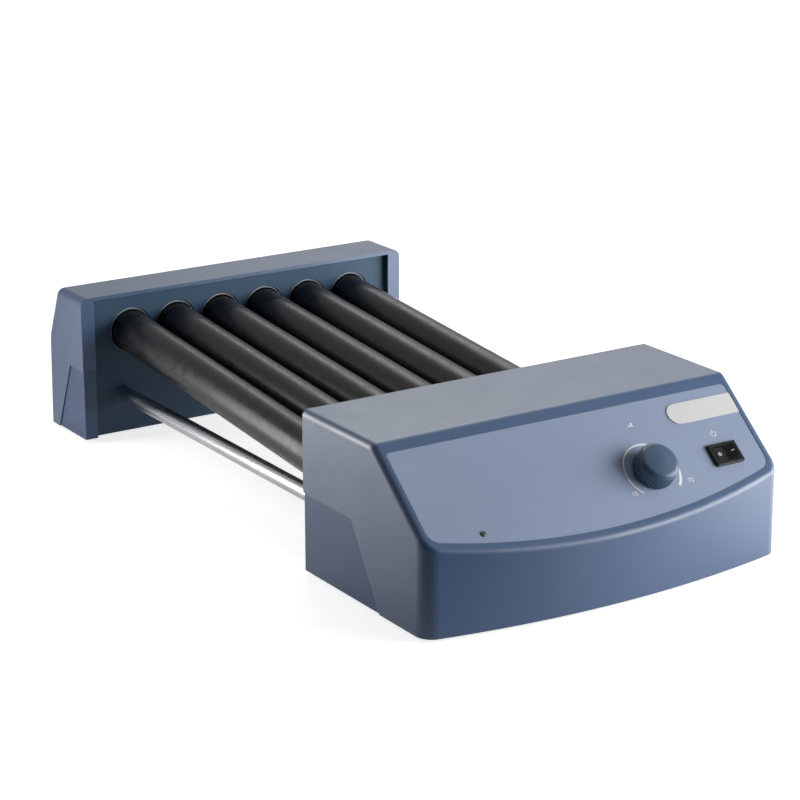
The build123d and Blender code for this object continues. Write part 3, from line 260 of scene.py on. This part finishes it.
class Finish:
    """A procedural material around one Principled shader. Settings are sockets with fixed values."""

    def __init__(self, name, **settings):
        self.material = bpy.data.materials.new(name)
        self.material.use_nodes = True
        self.tree = self.material.node_tree
        self.shader = self.tree.nodes["Principled BSDF"]
        for socket, value in settings.items():
            self.shader.inputs[socket.replace("_", " ")].default_value = value
        self.place = self.node("ShaderNodeTexCoord").outputs["Object"]

    def node(self, kind, **settings):
        made = self.tree.nodes.new(kind)
        for key, value in settings.items():
            setattr(made, key, value)
        return made

    def link(self, source, target):
        self.tree.links.new(source, target)

    def stretched(self, scale):
        """Coordinates scaled along each axis. A small scale draws the pattern out along its axis."""
        mapping = self.node("ShaderNodeMapping")
        mapping.inputs["Scale"].default_value = scale
        self.link(self.place, mapping.inputs["Vector"])
        return mapping.outputs["Vector"]

    def noise(self, scale, detail=3.0, roughness=0.5, vector=None):
        made = self.node("ShaderNodeTexNoise")
        made.inputs["Scale"].default_value = scale
        made.inputs["Detail"].default_value = detail
        made.inputs["Roughness"].default_value = roughness
        self.link(vector or self.place, made.inputs["Vector"])
        return made.outputs["Fac"]

    def cells(self, scale, feature="F1"):
        made = self.node("ShaderNodeTexVoronoi", feature=feature)
        made.inputs["Scale"].default_value = scale
        self.link(self.place, made.inputs["Vector"])
        return made.outputs["Distance"]

    def spread(self, source, low=0.0, high=1.0, from_low=0.3, from_high=0.7):
        """A value, which in a pattern mostly lies between 0.3 and 0.7, stretched to go from low to high."""
        return ranged(self.tree, source, from_low, from_high, low, high)

    def blend(self, factor, first, second):
        """Colour between two others. Either may be a colour or a socket."""
        made = self.node("ShaderNodeMix", data_type="RGBA")
        self.link(factor, made.inputs["Factor"])
        for socket, value in ((made.inputs["A"], first), (made.inputs["B"], second)):
            if isinstance(value, tuple):
                socket.default_value = value
            else:
                self.link(value, socket)
        return made.outputs["Result"]

    def rounded(self, radius):
        """Normal that rounds the edges over a radius."""
        made = self.node("ShaderNodeBevel", samples=4)
        made.inputs["Radius"].default_value = radius
        return made.outputs["Normal"]

    def edges(self, radius, share):
        """The share where an edge lies within the radius, and 0 on open faces."""
        edge_cosine = 0.9
        flat_cosine = 0.995
        match = self.node("ShaderNodeVectorMath", operation="DOT_PRODUCT")
        self.link(self.rounded(radius), match.inputs[0])
        self.link(self.node("ShaderNodeNewGeometry").outputs["Normal"], match.inputs[1])
        on_edge = self.spread(match.outputs["Value"], 1.0, 0.0, edge_cosine, flat_cosine)
        return self.spread(on_edge, high=share, from_low=0.0, from_high=1.0)

    def relief(self, *layers, edge=0.0):
        """Bump from (height, distance) layers, over edges softened by a radius."""
        normal = self.rounded(edge) if edge else None
        for height, distance in layers:
            bump = self.node("ShaderNodeBump")
            bump.inputs["Strength"].default_value = 1.0
            bump.inputs["Distance"].default_value = distance
            self.link(height, bump.inputs["Height"])
            if normal is not None:
                self.link(normal, bump.inputs["Normal"])
            normal = bump.outputs["Normal"]
        self.link(normal, self.shader.inputs["Normal"])

    def colour(self, socket):
        self.link(socket, self.shader.inputs["Base Color"])

    def roughness(self, socket):
        self.link(socket, self.shader.inputs["Roughness"])


def tone(red, green, blue):
    """Linear colour of an sRGB screen colour from 0 to 255."""
    parts = []
    for value in (red, green, blue):
        share = value / 255
        parts.append(share / 12.92 if share <= 0.04045 else ((share + 0.055) / 1.055) ** 2.4)
    return (*parts, 1.0)


def moulded(name, deep, light, edge_light_and_wear, rough, edge=0.0005, **settings):
    """Satin moulded plastic: cloudy tone, fine sparked grain, softened edges lightened by a painted
    highlight that also stands for rubbed wear.
    """
    grain_size = 0.0006
    grain_depth = 0.000012
    edge_light_reach = 1.6 * edge
    rough_swing = 0.05
    finish = Finish(name, **settings)
    clouds = finish.noise(scale=7.0, detail=4.0)
    body = finish.blend(finish.spread(clouds), deep, light)
    # Edges blend to the lighter edge colour: a painted highlight along the edges, partly rubbed wear
    finish.colour(finish.blend(finish.edges(edge_light_reach, share=0.45), body, edge_light_and_wear))
    handling = finish.noise(scale=38.0, detail=5.0, roughness=0.62)
    finish.roughness(finish.spread(handling, rough - rough_swing, rough + rough_swing))
    grain = finish.noise(scale=1 / grain_size, detail=2.0)
    finish.relief((grain, grain_depth), edge=edge)
    return finish.material


def metal(name, dark, bright, rough, stretch=(1, 1, 1), line_size=0.0005, depth=0.000004):
    """Bare metal with drawn or brushed lines, a little tarnish, and edges brightened by a painted highlight.
    """
    edge = 0.0003
    finish = Finish(name, Metallic=1.0)
    lines = finish.noise(1 / line_size, detail=4.0, roughness=0.6, vector=finish.stretched(stretch))
    patches = finish.noise(scale=60.0, detail=3.0)
    body = finish.blend(finish.spread(patches), dark, bright)
    # Edges blend to the bright colour: a painted highlight along the edges
    finish.colour(finish.blend(finish.edges(edge, share=0.5), body, bright))
    finish.roughness(finish.spread(lines, 0.75 * rough, 1.25 * rough))
    finish.relief((lines, depth), edge=edge)
    return finish.material


def rubber(name, deep, light, rough, depth=0.00003):
    """Rubber or soft vinyl with a dull, slightly dusty skin."""
    grain_size = 0.0008
    rough_swing = 0.06
    finish = Finish(name)
    dust = finish.noise(scale=55.0, detail=6.0, roughness=0.7)
    finish.colour(finish.blend(finish.spread(dust, from_low=0.35, from_high=0.75), deep, light))
    patches = finish.noise(scale=140.0)
    finish.roughness(finish.spread(patches, rough - rough_swing, rough + rough_swing))
    grain = finish.noise(1 / grain_size, detail=3.0)
    finish.relief((grain, depth), edge=0.0004)
    return finish.material


def printed_sheet():
    """Textured control panel film: tiny cells in the film over an even printed colour."""
    cell_depth = 0.000006
    finish = Finish("panel_film", Specular_IOR_Level=0.45)
    clouds = finish.noise(scale=9.0, detail=3.0)
    finish.colour(finish.blend(finish.spread(clouds), tone(135, 151, 178), tone(142, 158, 185)))
    patches = finish.noise(scale=70.0, detail=4.0)
    finish.roughness(finish.spread(patches, low=0.4, high=0.5))
    finish.relief((finish.cells(scale=2600.0), cell_depth))
    return finish.material


def circuit_board():
    """Green solder mask with lighter, raised tracks."""
    track_depth = 0.00003
    finish = Finish("circuit_board", Roughness=0.32, Coat_Weight=0.3)
    cell_walls = finish.cells(scale=260.0, feature="DISTANCE_TO_EDGE")
    tracks = finish.spread(cell_walls, low=1.0, high=0.0, from_low=0.06, from_high=0.1)
    finish.colour(finish.blend(tracks, tone(24, 84, 52), tone(52, 122, 78)))
    finish.relief((tracks, track_depth))
    return finish.material


def lens():
    """Dark green lens with a faint flow pattern from its mould."""
    flow_depth = 0.00001
    finish = Finish("lamp_lens_green", Transmission_Weight=0.35, IOR=1.49, Coat_Weight=0.4)
    flow = finish.noise(scale=420.0, detail=2.0)
    finish.colour(finish.blend(finish.spread(flow), tone(22, 62, 34), tone(44, 104, 58)))
    finish.roughness(finish.spread(flow, low=0.1, high=0.2))
    finish.relief((flow, flow_depth), edge=0.0003)
    return finish.material


# One finish for each material slot of the record. The third colour of each moulded finish is its edge
# colour, a painted highlight that also stands for rubbed wear; in the metals the bright colour also paints
# the edges as a highlight.
finishes = {
    "housing": moulded(
        "housing_plastic", tone(28, 68, 110), tone(33, 73, 116), tone(54, 92, 132), rough=0.47,
        Specular_IOR_Level=1.0, Coat_Weight=1.0, Coat_Roughness=0.42,
    ),
    "tray": moulded(
        "tray_plastic", tone(29, 67, 109), tone(34, 72, 115), tone(55, 91, 131), rough=0.46,
        Specular_IOR_Level=0.8, Coat_Weight=0.4, Coat_Roughness=0.4,
    ),
    "inner_plate": moulded(
        "plate_plastic", tone(40, 68, 92), tone(46, 75, 100), tone(80, 106, 130), rough=0.5,
    ),
    "overlay": printed_sheet(),
    "badge": moulded(
        "badge_film", tone(206, 208, 212), tone(212, 214, 217), tone(224, 225, 228), rough=0.4, edge=0.0002,
    ),
    "lamp": lens(),
    "switch_black": moulded(
        "switch_plastic", tone(17, 18, 20), tone(23, 24, 26), tone(64, 66, 70), rough=0.3, edge=0.0003,
    ),
    "knob": moulded(
        "knob_plastic", tone(50, 75, 101), tone(56, 82, 109), tone(80, 108, 136), rough=0.42, edge=0.0003,
        Coat_Weight=0.5, Coat_Roughness=0.3,
    ),
    "roller_black": rubber("roller_skin", tone(24, 24, 26), tone(31, 31, 33), rough=0.31, depth=0.000008),
    "end_cap": moulded("cap_nylon", tone(20, 20, 22), tone(28, 28, 30), tone(66, 66, 68), rough=0.45),
    "pulley": moulded(
        "pulley_acetal", tone(206, 204, 196), tone(218, 216, 208), tone(236, 235, 230), rough=0.35,
    ),
    "belt": rubber("belt_urethane", tone(52, 104, 62), tone(66, 122, 74), rough=0.4, depth=0.00001),
    "port_ring": moulded(
        "ring_nylon", tone(132, 138, 150), tone(142, 148, 160), tone(176, 180, 190), rough=0.35,
    ),
    "polished_steel": metal(
        "polished_rod", tone(200, 200, 202), tone(218, 218, 220), rough=0.25, stretch=(1, 0.02, 1),
        depth=0.0000002,
    ),
    "zinc": metal("zinc_plate", tone(150, 154, 158), tone(190, 194, 198), rough=0.38),
    "raw_aluminium": metal(
        "brushed_aluminium", tone(168, 170, 172), tone(200, 202, 204), rough=0.34, stretch=(0.03, 1, 1),
    ),
    "bronze": metal("sintered_bronze", tone(140, 100, 58), tone(176, 132, 82), rough=0.45, line_size=0.0002),
    "brass": metal("turned_brass", tone(176, 142, 74), tone(208, 176, 104), rough=0.28),
    "board": circuit_board(),
    "foot_rubber": rubber("foot_rubber", tone(26, 26, 28), tone(44, 44, 46), rough=0.62),
}

for subpart in frame["record"]["subparts"]:
    slots = frame["nodes"][subpart["node"]].data.materials
    slots.clear()
    slots.append(finishes[subpart["material_slot"]])

# White ink for the prints; its lightest colour is painted on the edges as a highlight
ink = moulded(
    "white_ink", tone(222, 226, 232), tone(230, 233, 238), tone(236, 238, 242), rough=0.45, edge=0.00005,
)
for mark in marks:
    mark.data.materials.append(ink)

# Camera at the photograph's viewing angle, with its lens and sensor in millimetres
camera_data = bpy.data.cameras.new("camera")
camera_data.lens = 114.88
camera_data.sensor_width = 36.0
camera = bpy.data.objects.new("camera", camera_data)
camera.location = (-0.79891, -1.23532, 0.52045)
camera.rotation_euler = (math.radians(72.49), 0, math.radians(-33.03))
bpy.context.collection.objects.link(camera)
bpy.context.scene.camera = camera

# Pale floor
floor_size = 12.0
floor_mesh = bpy.data.meshes.new("floor")
floor_form = bmesh.new()
bmesh.ops.create_grid(floor_form, x_segments=1, y_segments=1, size=floor_size / 2)
floor_form.to_mesh(floor_mesh)
floor_form.free()
floor = bpy.data.objects.new("floor", floor_mesh)
bpy.context.collection.objects.link(floor)

# Reflections see a studio that is white all round but dim on the side that the left front corner faces
dim_side = (-0.54, -0.84, 0.0)
dim_level = 0.05


def away_from_dim_side(tree, coordinates, bright_until, dim_from):
    """1 on the bright side of the studio, falling smoothly to the dim level."""
    toward = tree.nodes.new("ShaderNodeVectorMath")
    toward.operation = "DOT_PRODUCT"
    toward.inputs[1].default_value = dim_side
    tree.links.new(coordinates, toward.inputs[0])
    return ranged(tree, toward.outputs["Value"], bright_until, dim_from, 1.0, dim_level, curve="SMOOTHSTEP")


def ray_kinds(tree):
    """The ray's kinds, and 1 for the rays that reflections and clear parts send out."""
    rays = tree.nodes.new("ShaderNodeLightPath")
    return rays, joined(tree, "MAXIMUM", rays.outputs["Is Glossy Ray"], rays.outputs["Is Transmission Ray"])


# The camera sees the floor white far out and a little less bright near the object, where the shadow lies.
# Reflections see it dim towards the dim side, and brighter on the right than on the left.
near_distance = 0.5
far_distance = 1.4
near_lift = 0.75
far_lift = 1.0
left_until = 0.1
right_from = 0.4
left_shine = 0.3
right_shine = 2.2
floor_bright_until = 0.13
floor_dim_from = 0.36
floor_white = (0.8, 0.8, 0.81, 1)
floor_dim = (0.05, 0.05, 0.055, 1)

floor_material = bpy.data.materials.new("pale_floor")
floor_material.use_nodes = True
floor_mesh.materials.append(floor_material)
floor_tree = floor_material.node_tree
floor_shader = floor_tree.nodes["Principled BSDF"]
floor_shader.inputs["Roughness"].default_value = 0.9
floor_shader.inputs["Specular IOR Level"].default_value = 0.1
floor_shader.inputs["Emission Color"].default_value = (1, 1, 1, 1)
floor_place = floor_tree.nodes.new("ShaderNodeTexCoord").outputs["Object"]
floor_rays, floor_reflected = ray_kinds(floor_tree)
floor_fall = away_from_dim_side(floor_tree, floor_place, floor_bright_until, floor_dim_from)
floor_share = joined(floor_tree, "MULTIPLY", floor_reflected, floor_fall)

floor_distance = floor_tree.nodes.new("ShaderNodeVectorMath")
floor_distance.operation = "LENGTH"
floor_tree.links.new(floor_place, floor_distance.inputs[0])
floor_lift = ranged(
    floor_tree, floor_distance.outputs["Value"], near_distance, far_distance, near_lift, far_lift
)
floor_seen = joined(floor_tree, "MULTIPLY", floor_rays.outputs["Is Camera Ray"], floor_lift)

floor_sides = floor_tree.nodes.new("ShaderNodeSeparateXYZ")
floor_tree.links.new(floor_place, floor_sides.inputs[0])
floor_shine = ranged(floor_tree, floor_sides.outputs["X"], left_until, right_from, left_shine, right_shine)
floor_glow = joined(floor_tree, "MULTIPLY", floor_share, floor_shine)
floor_strength = joined(floor_tree, "MAXIMUM", floor_seen, floor_glow)
floor_tree.links.new(floor_strength, floor_shader.inputs["Emission Strength"])

floor_dimmed = joined(floor_tree, "SUBTRACT", floor_reflected, floor_share)
floor_colour = floor_tree.nodes.new("ShaderNodeMix")
floor_colour.data_type = "RGBA"
floor_colour.inputs["A"].default_value = floor_white
floor_colour.inputs["B"].default_value = floor_dim
floor_tree.links.new(floor_dimmed, floor_colour.inputs["Factor"])
floor_tree.links.new(floor_colour.outputs["Result"], floor_shader.inputs["Base Color"])

# World: white where it is seen, brighter in reflections than as a light, and dim towards the dim side
world_light = 0.2
world_shine = 0.4
world_bright_until = 0.1
world_dim_from = 0.6
world = bpy.data.worlds.new("studio")
world.use_nodes = True
bpy.context.scene.world = world
world_tree = world.node_tree
world_shader = world_tree.nodes["Background"]
world_shader.inputs["Color"].default_value = (1, 1, 1, 1)
world_place = world_tree.nodes.new("ShaderNodeTexCoord").outputs["Generated"]
world_rays, world_reflected = ray_kinds(world_tree)
world_fall = away_from_dim_side(world_tree, world_place, world_bright_until, world_dim_from)
world_extra = joined(world_tree, "MULTIPLY", world_reflected, world_shine - world_light)
world_level = joined(world_tree, "ADD", world_extra, world_light)
world_glow = joined(world_tree, "MULTIPLY", world_fall, world_level)
world_strength = joined(world_tree, "MAXIMUM", world_glow, world_rays.outputs["Is Camera Ray"])
world_tree.links.new(world_strength, world_shader.inputs["Strength"])


def soft_light(name, place, aim, size, power, colour=(1, 1, 1), shines=True):
    """Rectangular softbox turned to a point. One that doesn't shine stays out of reflections."""
    data = bpy.data.lights.new(name, "AREA")
    data.shape = "RECTANGLE"
    data.size = size[0]
    data.size_y = size[1]
    data.energy = power
    data.color = colour
    light = bpy.data.objects.new(name, data)
    light.location = place
    light.rotation_euler = (Vector(aim) - Vector(place)).to_track_quat("-Z", "Y").to_euler()
    light.visible_camera = False
    light.visible_glossy = shines
    bpy.context.collection.objects.link(light)


# The warm light in front is two softboxes at one place, so that it can light more than it shines
front_spot = (0.92, -0.76, 0.27)
front_aim = (0.18, -0.16, 0.1)
front_size = (1.05, 0.6)
front_colour = (1.0, 0.965, 0.935)
object_middle = (0, 0, 0.05)
soft_light("front_light", front_spot, front_aim, front_size, power=12.0, colour=front_colour)
soft_light("front_fill", front_spot, front_aim, front_size, power=14.0, colour=front_colour, shines=False)
soft_light("left_light", (-0.42, 0.26, 0.14), aim=(-0.3, -0.3, 0.08), size=(0.27, 0.26), power=1.3)
soft_light("back_light", (0.86, 0.98, 0.97), aim=object_middle, size=(0.9, 0.6), power=3.0)
soft_light("top_light", (0.4, 0.69, 1.44), aim=object_middle, size=(0.7, 0.7), power=4.2)

bpy.context.scene.view_settings.view_transform = "Standard"
